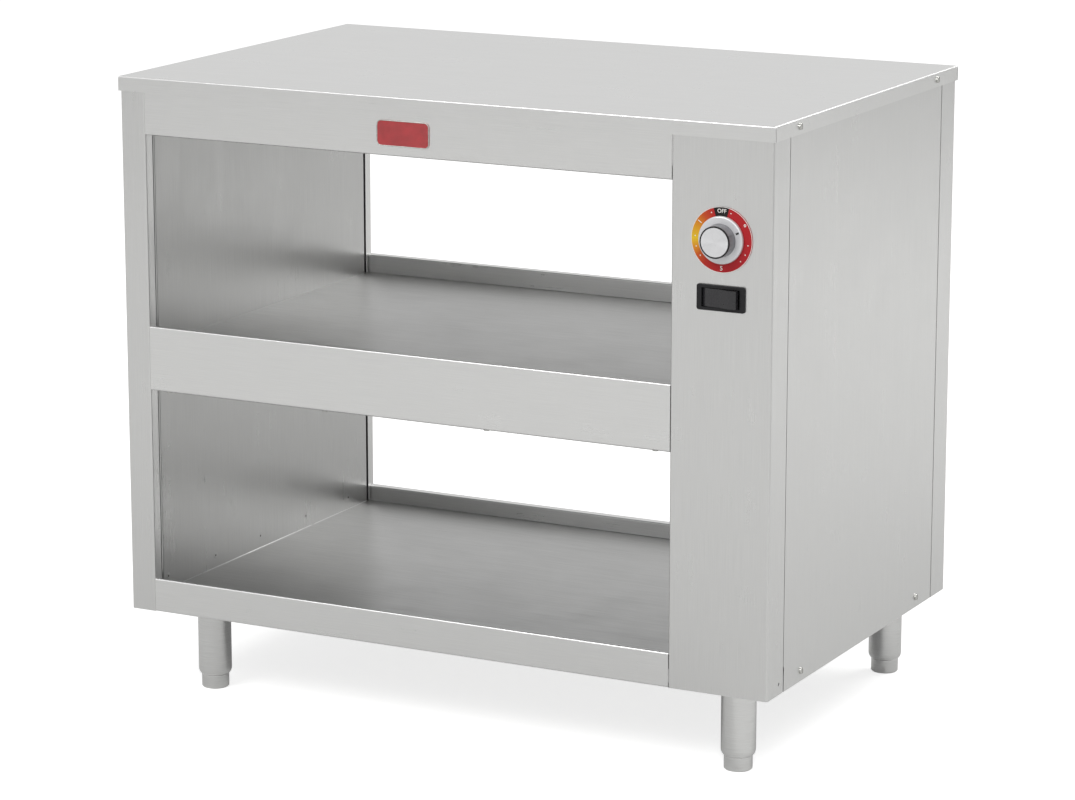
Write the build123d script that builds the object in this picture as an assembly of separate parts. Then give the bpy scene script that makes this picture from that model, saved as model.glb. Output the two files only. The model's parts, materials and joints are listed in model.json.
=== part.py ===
from build123d import *
import math
import os

# Heated holding shelf: an open, pass-through cabinet of folded stainless sheet.
# Two bays stand one above the other, with the heated shelf between them. A closed
# control compartment fills the right-hand end. Four adjustable legs carry it.
# Millimetres. +X is to the right seen from the front, -Y is the front, +Z is up.
# The origin is on the floor, under the middle of the cabinet.

# Driving sizes of the cabinet
BODY_WIDTH = 864.0
BODY_DEPTH = 546.0
BODY_HEIGHT = 667.0
LEG_HEIGHT = 102.0
POST_WIDTH = 34.0
CONTROL_WIDTH = 126.0
CORNER_WRAP = 44.0
FRONT_SEAM = 1.2
REAR_SEAM = 0.8
SEAM_NOTCH = 1.5
SEAM_NOTCH_HEIGHT = 30.0

# Heights of the shelves, measured up from the underside of the body
HEATED_APRON_BOTTOM = 281.0
HEATED_APRON_HEIGHT = 80.0
HEATED_RECESS = 24.0
BASE_APRON_HEIGHT = 42.0
BASE_RECESS = 20.0

# Sheet metal
SHEET = 1.2
BEND = 1.6
RETURN_DEPTH = 15.0
LINER_GAP = 3.5
LINER_FLANGE = 12.0
FRONT_RIM = 4.0
REAR_RIM = 12.0
SHELF_RETURN = 15.0
HEADER_RETURN = 20.0
HEADER_UPTURN = 12.0

# Top panel and header
HEADER_HEIGHT = 70.0
LIP_DROP = 18.0
LIP_OVERHANG = 2.0
LIP_SEAM = 0.8
TOP_EDGE_RADIUS = 2.0
STIFFENER_WIDTH = 60.0
STIFFENER_HEIGHT = 22.0
STIFFENER_FOOT = 16.0

# Heating
HEATER_DIAMETER = 8.0
HEATER_RUN_SPACING = 110.0
HEATER_PAIR_SPACING = 230.0
HEATER_END_INSET = 40.0
HEATER_TAIL = 18.0
HEATER_FLAT = 2.0
HEATER_HOLE_CLEARANCE = 1.0
SEAT_GAP = 0.3
CLAMP_SHEET = 1.0
CLAMP_WIDTH = 12.0
CLAMP_FOOT = 11.0
CLAMPS_PER_RUN = 3
INSULATION_THICKNESS = 25.0
INSULATION_MARGIN = 6.0
LIMIT_DIAMETER = 19.0
LIMIT_HEIGHT = 9.0
LIMIT_FLANGE = 24.0
LIMIT_FLANGE_THICKNESS = 1.0
LIMIT_TAB_HEIGHT = 7.0

# Base and legs
LEG_INSET_LEFT = 88.0
LEG_INSET_RIGHT = 58.0
LEG_INSET_Y = 50.0
RAIL_WIDTH = 88.0
RAIL_SHEET = 2.0
RAIL_DEPTH = 16.0
LEG_PLATE_SIZE = 74.0
LEG_PLATE_THICKNESS = 5.0
LEG_BOLT_SPACING = 62.0
LEG_DIAMETER = 41.3
LEG_WALL = 1.5
LEG_TAPER = 7.0
LEG_MOUTH_DIAMETER = 35.5
LEG_BUSH_HEIGHT = 14.0
LEG_STUD_LENGTH = 4.5
FOOT_DIAMETER = 34.0
FOOT_HEIGHT = 17.5
FOOT_FLATS = 31.0
FOOT_FLAT_HEIGHT = 9.0
FOOT_EDGE = 1.5
FOOT_STUD_DIAMETER = 12.0
FOOT_STUD_LENGTH = 42.0
FOOT_STUD_CHAMFER = 1.0
FOOT_FIT = 0.06

# Controls, on the middle of the control panel and measured down from the cabinet's top
DIAL_DROP = 133.0
DIAL_DIAMETER = 76.0
DIAL_THICKNESS = 1.0
SWITCH_DROP = 200.0
SKIRT_DIAMETER = 55.0
SKIRT_THICKNESS = 4.0
SKIRT_ROUND = 2.0
KNOB_DIAMETER = 38.0
KNOB_LENGTH = 19.0
KNOB_TAPER = 0.5
KNOB_SOCKET_DEPTH = 14.0
KNOB_RUN_GAP = 0.6
RING_THICKNESS = 1.4
RING_ROUND = 0.5
CAP_DIAMETER = 33.6
CAP_THICKNESS = 1.2
CAP_FIT = 0.1
POINTER_WIDTH = 2.2
POINTER_LENGTH = 4.0
POINTER_RADIUS = 23.4
POINTER_DEPTH = 0.5
POINTER_TURN = 24.0
SHAFT_DIAMETER = 6.0
SHAFT_FIT = 0.06
SHAFT_HOLE = 10.0
SWITCH_BODY = 42.0
SWITCH_BODY_DEPTH = 32.0
SWITCH_BODY_CORNER = 3.0
SWITCH_SHAFT_REACH = 22.0
SWITCH_SCREW_SPACING = 31.0
TAB_WIDTH = 6.3
TAB_THICKNESS = 0.8
TAB_LENGTH = 8.0

# Rocker switch
BEZEL_WIDTH = 60.0
BEZEL_HEIGHT = 30.0
BEZEL_THICKNESS = 2.6
BEZEL_CORNER = 3.0
BEZEL_ROUND = 0.9
HOUSING_WIDTH = 52.0
HOUSING_HEIGHT = 24.0
HOUSING_DEPTH = 26.0
HOUSING_WALL = 1.8
ROCKER_WIDTH = 45.0
ROCKER_HEIGHT = 21.0
ROCKER_CLEARANCE = 1.2
ROCKER_TILT = 10.0
ROCKER_PROUD = 1.0
ROCKER_VALLEY = 8.0
ROCKER_FACET = 9.5
ROCKER_FACET_DROP = 1.6
ROCKER_DEPTH = 9.0
ROCKER_END_DEPTH = 4.5
ROCKER_HEEL = 15.0
ROCKER_PIVOT_DEPTH = 4.0
ROCKER_PIN_DIAMETER = 3.0

# Wiring and power entry
TERMINAL_WIDTH = 18.0
TERMINAL_LENGTH = 66.0
TERMINAL_HEIGHT = 16.0
TERMINAL_POLES = 4
TERMINAL_WELL_DIAMETER = 8.0
TERMINAL_WELL_DEPTH = 5.0
TERMINAL_CENTRE_HEIGHT = 150.0
WIRE_DIAMETER = 3.0
WIRE_BEND = 14.0
GLAND_HEIGHT = 60.0
GLAND_BORE = 10.0
GLAND_THREAD = 20.0
GLAND_HEX = 24.0
GLAND_HEX_THICKNESS = 6.0
GLAND_DOME = 14.6
GLAND_ROUND = 4.4
GLAND_NUT_THICKNESS = 5.0
GLAND_THREAD_LENGTH = 10.0

# Nameplate place on the header: a blank plate
PLATE_WIDTH = 70.0
PLATE_HEIGHT = 31.0
PLATE_THICKNESS = 0.8
PLATE_CORNER = 6.0
PLATE_CENTRE_X = -41.0
PLATE_DROP = 43.0

# Fasteners
SCREW_HEAD = 8.0
SCREW_HEAD_HEIGHT = 2.2
SCREW_HEAD_ROUND = 1.0
SCREW_SHANK = 4.0
SCREW_LENGTH = 8.0
SCREW_HOLE = 5.0
SCREW_SLOT = 1.2
TOP_SCREW_INSET = 66.0
PANEL_SCREW_INSET = 95.0
PANEL_SCREW_HEIGHT = 13.0
COVER_SCREW_INSET = 22.0
COVER_SCREWS_PER_ROW = 4
CORNER_HOLE = 4.0
CORNER_HOLE_INSET = 12.0

# How far a cutting shape runs past the face that it cuts
CUT = 1.0

# Places worked out from the driving sizes
LEFT = -BODY_WIDTH / 2
RIGHT = BODY_WIDTH / 2
FRONT = -BODY_DEPTH / 2
BACK = BODY_DEPTH / 2
UNDERSIDE = LEG_HEIGHT
TOP = LEG_HEIGHT + BODY_HEIGHT
UNDER_TOP = TOP - SHEET
LIP_BOTTOM = TOP - LIP_DROP
HALF = SHEET / 2
BAY_LEFT = LEFT + POST_WIDTH
BAY_RIGHT = RIGHT - CONTROL_WIDTH
HEADER_Z = TOP - HEADER_HEIGHT
HEATED_BOTTOM = UNDERSIDE + HEATED_APRON_BOTTOM
HEATED_TOP = HEATED_BOTTOM + HEATED_APRON_HEIGHT
HEATED_DECK = HEATED_TOP - HEATED_RECESS
BASE_TOP = UNDERSIDE + BASE_APRON_HEIGHT
BASE_DECK = BASE_TOP - BASE_RECESS
CONTROL_X = (BAY_RIGHT + RIGHT) / 2
DIAL_Z = TOP - DIAL_DROP
SWITCH_Z = TOP - SWITCH_DROP
PLATE_Z = TOP - PLATE_DROP
TOP_SCREW_Z = TOP - LIP_DROP / 2
PANEL_SCREW_Z = UNDERSIDE + PANEL_SCREW_HEIGHT
GLAND_Z = UNDERSIDE + GLAND_HEIGHT
KNOB_BACK = FRONT - DIAL_THICKNESS - KNOB_RUN_GAP
KNOB_FRONT = KNOB_BACK - KNOB_LENGTH
ROCKER_PIVOT_Y = FRONT - BEZEL_THICKNESS + ROCKER_PIVOT_DEPTH
LINER_FRONT = FRONT + RETURN_DEPTH + LINER_GAP
LINER_BACK = BACK - RETURN_DEPTH - LINER_GAP
HEATER_Z = HEATED_DECK - SHEET - SEAT_GAP - HEATER_DIAMETER / 2
LEG_X = (LEFT + LEG_INSET_LEFT, RIGHT - LEG_INSET_RIGHT)
LEG_Y = (FRONT + LEG_INSET_Y, BACK - LEG_INSET_Y)
RAIL_TOP = BASE_DECK - SHEET
LEG_PLATE_TOP = RAIL_TOP - RAIL_SHEET
LEG_TOP = LEG_PLATE_TOP - LEG_PLATE_THICKNESS
LEG_BOTTOM = FOOT_HEIGHT + SEAT_GAP
SIDE_NAMES = ("left", "right")
END_NAMES = ("front", "rear")


def block(x0, x1, y0, y1, z0, z1):
    """A square-cornered solid between two opposite corners."""
    middle = Pos((x0 + x1) / 2, (y0 + y1) / 2, (z0 + z1) / 2)
    return middle * Box(x1 - x0, y1 - y0, z1 - z0)


def rod(centre, radius, start, end, along):
    """A round bar from start to end along one axis; centre holds its other two coordinates."""
    length = end - start
    middle = (start + end) / 2
    if along == "x":
        return Pos(middle, centre[0], centre[1]) * Rot(0, 90, 0) * Cylinder(radius, length)
    if along == "y":
        return Pos(centre[0], middle, centre[1]) * Rot(90, 0, 0) * Cylinder(radius, length)
    return Pos(centre[0], centre[1], middle) * Cylinder(radius, length)


def folded(points, sheet=SHEET, bend=BEND):
    """The section of a sheet bent along points, which run down the middle of its thickness."""
    return trace(FilletPolyline(*points, radius=bend), sheet)


def along_x(section, x0, x1):
    return extrude(Plane.YZ.offset(x0) * section, amount=x1 - x0)


def along_z(section, z0, z1):
    return extrude(Plane.XY.offset(z0) * section, amount=z1 - z0)


def along_y(section, y0, y1):
    plane = Plane(origin=(0, y1, 0), x_dir=(1, 0, 0), z_dir=(0, -1, 0))
    return extrude(plane * section, amount=y1 - y0)


def mirrored_front_to_back(shape):
    return mirror(shape, about=Plane.XZ)


def screw(point, facing, length=SCREW_LENGTH):
    """A slotted pan-head screw whose head sits on point and faces along facing."""
    seat = Plane(origin=point, z_dir=facing)
    head = Pos(0, 0, SCREW_HEAD_HEIGHT / 2) * Cylinder(SCREW_HEAD / 2, SCREW_HEAD_HEIGHT)
    rim = head.edges().group_by(Axis.Z)[-1]
    head = fillet(rim, SCREW_HEAD_ROUND)
    shank = Pos(0, 0, -length / 2) * Cylinder(SCREW_SHANK / 2, length)
    slot = Pos(0, 0, SCREW_HEAD_HEIGHT) * Box(SCREW_HEAD + CUT, SCREW_SLOT, SCREW_HEAD_HEIGHT)
    return seat * (head + shank - slot)


def make_top_panel():
    """A flat top with four lips folded down and an open seam at each corner."""
    out_x = RIGHT + LIP_OVERHANG
    out_y = BACK + LIP_OVERHANG
    body = block(-out_x, out_x, -out_y, out_y, LIP_BOTTOM, TOP)
    body = fillet(body.edges().group_by(Axis.Z)[-1], TOP_EDGE_RADIUS)
    in_x = out_x - SHEET
    in_y = out_y - SHEET
    body -= block(-in_x, in_x, -in_y, in_y, LIP_BOTTOM - CUT, UNDER_TOP)
    seam_top = TOP - TOP_EDGE_RADIUS - SHEET
    for side in (-1, 1):
        for end in (-1, 1):
            seam_y = end * (in_y - LIP_SEAM / 2)
            seam = Box(SHEET * 3, LIP_SEAM, seam_top - LIP_BOTTOM + CUT)
            body -= Pos(side * out_x, seam_y, (seam_top + LIP_BOTTOM - CUT) / 2) * seam
    for x, y in top_screw_places():
        body -= rod((y, TOP_SCREW_Z), SCREW_HOLE / 2, x - SHEET * 2, x + SHEET * 2, "x")
    return body


def top_screw_places():
    """Where each screw's head meets the outside of the side lips."""
    lip_face = RIGHT + LIP_OVERHANG
    rows = (FRONT + TOP_SCREW_INSET, BACK - TOP_SCREW_INSET)
    return [(side * lip_face, y) for side in (-1, 1) for y in rows]


def make_top_stiffener():
    """A hat channel under the top, from the left liner to the control partition."""
    under = UNDER_TOP - HALF
    low = UNDER_TOP - STIFFENER_HEIGHT + HALF
    half_hat = STIFFENER_WIDTH / 2 - HALF
    foot = half_hat + STIFFENER_FOOT
    points = [(-foot, under), (-half_hat, under), (-half_hat, low),
              (half_hat, low), (half_hat, under), (foot, under)]
    return along_x(folded(points), BAY_LEFT, BAY_RIGHT)


def make_header():
    """The front header: a channel with its face flush with the post and the control panel."""
    face = FRONT + HALF
    high = UNDER_TOP - HALF
    low = HEADER_Z + HALF
    back = face + HEADER_RETURN
    points = [(face + RETURN_DEPTH, high), (face, high), (face, low), (back, low),
              (back, low + HEADER_UPTURN)]
    return along_x(folded(points), BAY_LEFT, BAY_RIGHT)


def make_left_side_panel():
    """The left skin, folded round both posts, with returns along the bay opening."""
    inner = BAY_LEFT - HALF
    outer = LEFT + HALF
    front = FRONT + HALF
    back = BACK - HALF
    points = [(inner, FRONT + RETURN_DEPTH), (inner, front), (outer, front),
              (outer, back), (inner, back), (inner, BACK - RETURN_DEPTH)]
    panel = along_z(folded(points), UNDERSIDE, UNDER_TOP)
    for x, y in top_screw_places():
        if x < 0:
            panel -= rod((y, TOP_SCREW_Z), SCREW_HOLE / 2, LEFT - CUT, LEFT + SHEET + CUT, "x")
    return panel


def make_left_liner():
    """The bay's left wall. Its edges turn into the wall cavity, a small gap from the posts."""
    wall = BAY_LEFT - HALF
    hidden = wall - LINER_FLANGE
    points = [(hidden, LINER_FRONT + HALF), (wall, LINER_FRONT + HALF),
              (wall, LINER_BACK - HALF), (hidden, LINER_BACK - HALF)]
    return along_z(folded(points), BASE_DECK, UNDER_TOP)


def make_control_partition():
    """The bay's right wall, in front of the control compartment, with holes for the heaters."""
    wall = BAY_RIGHT + HALF
    hidden = wall + LINER_FLANGE
    points = [(hidden, LINER_FRONT + HALF), (wall, LINER_FRONT + HALF),
              (wall, LINER_BACK - HALF), (hidden, LINER_BACK - HALF)]
    partition = along_z(folded(points), BASE_DECK, UNDER_TOP)
    for y in heater_run_places():
        partition -= heater_hole(y)
    return partition


def heater_run_places():
    """The front-to-back places of the four straight runs, a pair for each element."""
    half_run = HEATER_RUN_SPACING / 2
    half_pair = HEATER_PAIR_SPACING / 2
    return [pair + run for pair in (-half_pair, half_pair) for run in (-half_run, half_run)]


def heater_hole(y):
    radius = HEATER_DIAMETER / 2 + HEATER_HOLE_CLEARANCE
    return rod((y, HEATER_Z), radius, BAY_RIGHT - 3 * SHEET, BAY_RIGHT + 3 * SHEET, "x")


def shelf_section(bottom, rim, deck):
    """A tray section: aprons hanging front and rear, a narrow rim on each, a sunken deck."""
    front = FRONT + HALF
    back = BACK - HALF
    low = bottom + HALF
    high = rim - HALF
    floor = deck - HALF
    points = [(front + SHELF_RETURN, low), (front, low), (front, high),
              (front + FRONT_RIM, high), (front + FRONT_RIM, floor),
              (back - REAR_RIM, floor), (back - REAR_RIM, high),
              (back, high), (back, low), (back - SHELF_RETURN, low)]
    return folded(points, bend=BEND)


def make_heated_shelf():
    """The heated tray, with end flanges turned down to weld against the bay walls."""
    shelf = along_x(shelf_section(HEATED_BOTTOM, HEATED_TOP, HEATED_DECK), BAY_LEFT, BAY_RIGHT)
    flange_front = FRONT + SHEET + FRONT_RIM
    flange_back = BACK - SHEET - REAR_RIM
    flange_low = HEATED_BOTTOM + 2 * SHEET
    for x0 in (BAY_LEFT, BAY_RIGHT - SHEET):
        shelf += block(x0, x0 + SHEET, flange_front, flange_back, flange_low, HEATED_DECK - HALF)
    for y in heater_run_places():
        shelf -= heater_hole(y)
    for x, y in cover_screw_places():
        shelf -= rod((x, y), SCREW_HOLE / 2, HEATED_BOTTOM - CUT, HEATED_BOTTOM + 2 * SHEET, "z")
    return shelf


def make_heater_cover():
    """The flat sheet that closes the heater space from below, lying on the apron returns."""
    cover = block(BAY_LEFT, BAY_RIGHT, FRONT + SHEET + BEND, BACK - SHEET - BEND,
                  HEATED_BOTTOM + SHEET, HEATED_BOTTOM + 2 * SHEET)
    for x, y in cover_screw_places():
        cover -= rod((x, y), SCREW_HOLE / 2, HEATED_BOTTOM, HEATED_BOTTOM + 3 * SHEET, "z")
    return cover


def cover_screw_places():
    rows = (FRONT + SHELF_RETURN / 2 + SHEET, BACK - SHELF_RETURN / 2 - SHEET)
    span = BAY_RIGHT - BAY_LEFT - 2 * COVER_SCREW_INSET
    pitch = span / (COVER_SCREWS_PER_ROW - 1)
    columns = [BAY_LEFT + COVER_SCREW_INSET + pitch * i for i in range(COVER_SCREWS_PER_ROW)]
    return [(x, y) for y in rows for x in columns]


def make_cover_screws():
    facing = (0, 0, -1)
    return [screw((x, y, HEATED_BOTTOM), facing) for x, y in cover_screw_places()]


def make_insulation():
    """A mineral-wool batt that lies on the cover and keeps the heat going up."""
    margin = INSULATION_MARGIN
    low = HEATED_BOTTOM + 2 * SHEET + SEAT_GAP
    rear_margin = margin + REAR_RIM
    batt = block(BAY_LEFT + margin, BAY_RIGHT - margin, FRONT + margin + FRONT_RIM,
                 BACK - rear_margin, low, low + INSULATION_THICKNESS)
    for x, y in cover_screw_places():
        batt -= rod((x, y), SCREW_HEAD, low - CUT, low + SCREW_LENGTH, "z")
    return batt


def make_heater(first_run, second_run):
    """One hairpin element: two long runs under the deck, with tails into the compartment."""
    tail = BAY_RIGHT + HEATER_TAIL
    turn = BAY_LEFT + HEATER_END_INSET
    radius = (abs(second_run - first_run) - HEATER_FLAT) / 2
    path = FilletPolyline((tail, first_run, HEATER_Z), (turn, first_run, HEATER_Z),
                          (turn, second_run, HEATER_Z), (tail, second_run, HEATER_Z),
                          radius=radius)
    start = Plane(origin=(tail, first_run, HEATER_Z), z_dir=(-1, 0, 0))
    return sweep(start * Circle(HEATER_DIAMETER / 2), path=path)


def make_heater_clamps():
    """Saddle straps under the element runs, with their feet on the deck's underside."""
    high = HEATED_DECK - SHEET - CLAMP_SHEET / 2
    low = HEATER_Z - HEATER_DIAMETER / 2 - SEAT_GAP - CLAMP_SHEET / 2
    half = HEATER_DIAMETER / 2 + SEAT_GAP + CLAMP_SHEET / 2
    foot = half + CLAMP_FOOT
    first = BAY_LEFT + HEATER_END_INSET + HEATER_RUN_SPACING
    pitch = (BAY_RIGHT - HEATER_END_INSET - first) / (CLAMPS_PER_RUN - 1)
    clamps = []
    for y in heater_run_places():
        points = [(y - foot, high), (y - half, high), (y - half, low),
                  (y + half, low), (y + half, high), (y + foot, high)]
        section = folded(points, CLAMP_SHEET, CLAMP_SHEET)
        for i in range(CLAMPS_PER_RUN):
            x = first + pitch * i
            clamps.append(along_x(section, x - CLAMP_WIDTH / 2, x + CLAMP_WIDTH / 2))
    return clamps


def make_high_limit():
    """A snap-disc thermostat on the deck's underside, with two tabs for its leads."""
    x = (BAY_LEFT + BAY_RIGHT) / 2
    top = HEATED_DECK - SHEET
    flange = rod((x, 0), LIMIT_FLANGE / 2, top - LIMIT_FLANGE_THICKNESS, top, "z")
    can = rod((x, 0), LIMIT_DIAMETER / 2, top - LIMIT_HEIGHT, top, "z")
    limit = flange + can
    for side in (-1, 1):
        tab_x = x + side * LIMIT_DIAMETER / 4
        limit += block(tab_x - TAB_THICKNESS / 2, tab_x + TAB_THICKNESS / 2,
                       -TAB_WIDTH / 2, TAB_WIDTH / 2,
                       top - LIMIT_HEIGHT - LIMIT_TAB_HEIGHT, top - LIMIT_HEIGHT)
    return limit


def make_base_shelf():
    """The bottom tray. Its deck passes under the walls and turns up behind them."""
    shelf = along_x(shelf_section(UNDERSIDE, BASE_TOP, BASE_DECK), BAY_LEFT, BAY_RIGHT)
    low = BASE_DECK - SHEET
    for x_wall, outward in ((BAY_LEFT, -1), (BAY_RIGHT, 1)):
        x_edge = x_wall + outward * 2 * SHEET
        x_flange = x_wall + outward * SHEET
        x0, x1 = sorted((x_wall, x_edge))
        shelf += block(x0, x1, LINER_FRONT + 2 * SHEET, LINER_BACK - 2 * SHEET, low, BASE_DECK)
        x0, x1 = sorted((x_flange, x_edge))
        shelf += block(x0, x1, LINER_FRONT + 2 * SHEET, LINER_BACK - 2 * SHEET,
                       BASE_DECK, BASE_DECK + LINER_FLANGE * 2)
    return shelf


def make_wall_closure():
    """The strip that closes the left wall cavity from below."""
    outer = LEFT + SHEET + HALF
    inner = BAY_LEFT - SHEET - HALF
    low = UNDERSIDE + HALF
    section = folded([(outer, low + HEADER_UPTURN), (outer, low), (inner, low),
                      (inner, low + HEADER_UPTURN)])
    return along_y(section, FRONT + SHEET + BEND, BACK - SHEET - BEND)


def make_compartment_floor():
    """The control compartment's floor, turned down where the side panel screws on."""
    inner = BAY_RIGHT + 2 * SHEET
    outer = RIGHT - SHEET - HALF
    deck = BASE_DECK - HALF
    section = folded([(inner, deck), (outer, deck), (outer, UNDERSIDE)])
    floor = along_y(section, FRONT + SHEET + BEND, BACK - SHEET - BEND)
    for y in panel_screw_rows():
        floor -= rod((y, PANEL_SCREW_Z), SCREW_HOLE / 2, RIGHT - 3 * SHEET, RIGHT, "x")
    return floor


def panel_screw_rows():
    return (FRONT + PANEL_SCREW_INSET, BACK - PANEL_SCREW_INSET)


def corner_panel():
    """A post-high panel: a return along the bay, the flat face and the wrap round the corner."""
    inner = BAY_RIGHT + HALF
    outer = RIGHT - HALF
    front = FRONT + HALF
    points = [(inner, FRONT + RETURN_DEPTH), (inner, front), (outer, front),
              (outer, FRONT + CORNER_WRAP)]
    return along_z(folded(points), UNDERSIDE, UNDER_TOP)


def make_control_panel():
    """The front corner panel, cut out for the dial shaft and the rocker switch."""
    panel = corner_panel()
    panel -= rod((CONTROL_X, DIAL_Z), SHAFT_HOLE / 2, FRONT - CUT, FRONT + 2 * SHEET, "y")
    for x in dial_screw_places():
        panel -= rod((x, DIAL_Z), SCREW_HOLE / 2, FRONT - CUT, FRONT + 2 * SHEET, "y")
    panel -= block(CONTROL_X - HOUSING_WIDTH / 2, CONTROL_X + HOUSING_WIDTH / 2,
                   FRONT - CUT, FRONT + 2 * SHEET,
                   SWITCH_Z - HOUSING_HEIGHT / 2, SWITCH_Z + HOUSING_HEIGHT / 2)
    hole_y = FRONT + CORNER_WRAP - CORNER_HOLE_INSET
    panel -= rod((hole_y, PANEL_SCREW_Z), CORNER_HOLE / 2, RIGHT - 2 * SHEET, RIGHT + CUT, "x")
    return panel


def make_rear_control_cover():
    """The matching rear corner panel, with the hole for the power entry."""
    cover = mirrored_front_to_back(corner_panel())
    cover -= rod((CONTROL_X, GLAND_Z), GLAND_THREAD / 2, BACK - 2 * SHEET, BACK + CUT, "y")
    return cover


def make_right_side_panel():
    """The screwed-on service panel between the two corner wraps. Its rear edge turns in,
    and its front edge is plain, with a notch at the foot of the seam."""
    outer = RIGHT - HALF
    inner = outer - LINER_FLANGE
    front = FRONT + CORNER_WRAP + FRONT_SEAM
    back = BACK - CORNER_WRAP - REAR_SEAM - HALF
    points = [(outer, front), (outer, back), (inner, back)]
    panel = along_z(folded(points), UNDERSIDE, UNDER_TOP)
    panel -= block(RIGHT - 2 * SHEET, RIGHT + CUT, front - CUT, front + SEAM_NOTCH,
                   UNDERSIDE - CUT, UNDERSIDE + SEAM_NOTCH_HEIGHT)
    floor_top = BASE_DECK + SHEET
    panel -= block(RIGHT - 3 * LINER_FLANGE, RIGHT - SHEET, FRONT, BACK, UNDERSIDE, floor_top)
    for y in panel_screw_rows():
        panel -= rod((y, PANEL_SCREW_Z), SCREW_HOLE / 2, RIGHT - 2 * SHEET, RIGHT + CUT, "x")
    for x, y in top_screw_places():
        if x > 0:
            panel -= rod((y, TOP_SCREW_Z), SCREW_HOLE / 2, RIGHT - 2 * SHEET, RIGHT + CUT, "x")
    return panel


def make_top_screws():
    screws = []
    for x, y in top_screw_places():
        facing = (1, 0, 0) if x > 0 else (-1, 0, 0)
        screws.append(screw((x, y, TOP_SCREW_Z), facing))
    return screws


def make_side_panel_screws():
    return [screw((RIGHT, y, PANEL_SCREW_Z), (1, 0, 0)) for y in panel_screw_rows()]


def make_base_rail(leg_x):
    """A channel across the underside of the bottom tray, which spreads the leg loads."""
    half = RAIL_WIDTH / 2 - RAIL_SHEET / 2
    high = RAIL_TOP - RAIL_SHEET / 2
    low = high - RAIL_DEPTH
    section = folded([(leg_x - half, low), (leg_x - half, high),
                      (leg_x + half, high), (leg_x + half, low)], RAIL_SHEET, 2 * RAIL_SHEET)
    rail = along_y(section, FRONT + SHEET + SEAT_GAP, BACK - SHEET - SEAT_GAP)
    for y in LEG_Y:
        for x_bolt, y_bolt in leg_bolt_places(leg_x, y):
            rail -= rod((x_bolt, y_bolt), SCREW_HOLE / 2, RAIL_TOP - 2 * RAIL_SHEET, RAIL_TOP + CUT, "z")
    return rail


def leg_bolt_places(leg_x, leg_y):
    half = LEG_BOLT_SPACING / 2
    return [(leg_x + sx * half, leg_y + sy * half) for sx in (-1, 1) for sy in (-1, 1)]


def make_leg_plate(leg_x, leg_y):
    """A mounting plate under the rail, bored for the leg's top stud."""
    half = LEG_PLATE_SIZE / 2
    plate = block(leg_x - half, leg_x + half, leg_y - half, leg_y + half, LEG_TOP, LEG_PLATE_TOP)
    plate = fillet(plate.edges().filter_by(Axis.Z), LEG_PLATE_THICKNESS)
    plate -= rod((leg_x, leg_y), FOOT_STUD_DIAMETER / 2, LEG_TOP - CUT, LEG_PLATE_TOP + CUT, "z")
    for x_bolt, y_bolt in leg_bolt_places(leg_x, leg_y):
        plate -= rod((x_bolt, y_bolt), SCREW_HOLE / 2, LEG_TOP - CUT, LEG_PLATE_TOP + CUT, "z")
    return plate


def make_leg_screws():
    """Four screws through each plate into the rail above it."""
    facing = (0, 0, -1)
    length = LEG_PLATE_THICKNESS + RAIL_SHEET
    return [screw((x, y, LEG_TOP), facing, length)
            for leg_x in LEG_X for leg_y in LEG_Y
            for x, y in leg_bolt_places(leg_x, leg_y)]


def make_leg_tube(leg_x, leg_y):
    """A tube swaged in at its mouth, with a top stud and a threaded bush for the foot."""
    outer = LEG_DIAMETER / 2
    mouth = LEG_MOUTH_DIAMETER / 2
    stud = FOOT_STUD_DIAMETER / 2
    bore = stud + FOOT_FIT
    shoulder = LEG_BOTTOM + LEG_TAPER
    bush_top = LEG_BOTTOM + LEG_BUSH_HEIGHT
    cap_bottom = LEG_TOP - 2 * LEG_WALL
    stud_top = LEG_TOP + LEG_STUD_LENGTH
    inner = outer - LEG_WALL
    swage = TangentArc((outer, shoulder), (mouth, LEG_BOTTOM), tangent=(0, -1))
    rest = Polyline((outer, shoulder), (outer, LEG_TOP), (stud, LEG_TOP), (stud, stud_top),
                    (0, stud_top), (0, cap_bottom), (inner, cap_bottom), (inner, bush_top),
                    (bore, bush_top), (bore, LEG_BOTTOM), (mouth, LEG_BOTTOM))
    profile = make_face([swage, rest])
    tube = revolve(Plane.XZ * profile, axis=Axis.Z)
    return Pos(leg_x, leg_y, 0) * tube


def make_foot(leg_x, leg_y):
    """A screw-in foot: a round body with two spanner flats and a long stud."""
    body = rod((0, 0), FOOT_DIAMETER / 2, 0, FOOT_HEIGHT, "z")
    body = chamfer(body.edges().group_by(Axis.Z)[0], FOOT_EDGE)
    body = fillet(body.edges().group_by(Axis.Z)[-1], FOOT_EDGE / 2)
    keep = block(-FOOT_DIAMETER, FOOT_DIAMETER, -FOOT_FLATS / 2, FOOT_FLATS / 2,
                 -CUT, FOOT_FLAT_HEIGHT)
    upper = block(-FOOT_DIAMETER, FOOT_DIAMETER, -FOOT_DIAMETER, FOOT_DIAMETER,
                  FOOT_FLAT_HEIGHT, FOOT_HEIGHT + CUT)
    body = body & (keep + upper)
    stud_top = FOOT_HEIGHT + FOOT_STUD_LENGTH
    stud = rod((0, 0), FOOT_STUD_DIAMETER / 2, FOOT_HEIGHT / 2, stud_top, "z")
    stud = chamfer(stud.edges().group_by(Axis.Z)[-1], FOOT_STUD_CHAMFER)
    return Pos(leg_x, leg_y, 0) * (body + stud)


def dial_screw_places():
    half = SWITCH_SCREW_SPACING / 2
    return (CONTROL_X - half, CONTROL_X + half)


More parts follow.
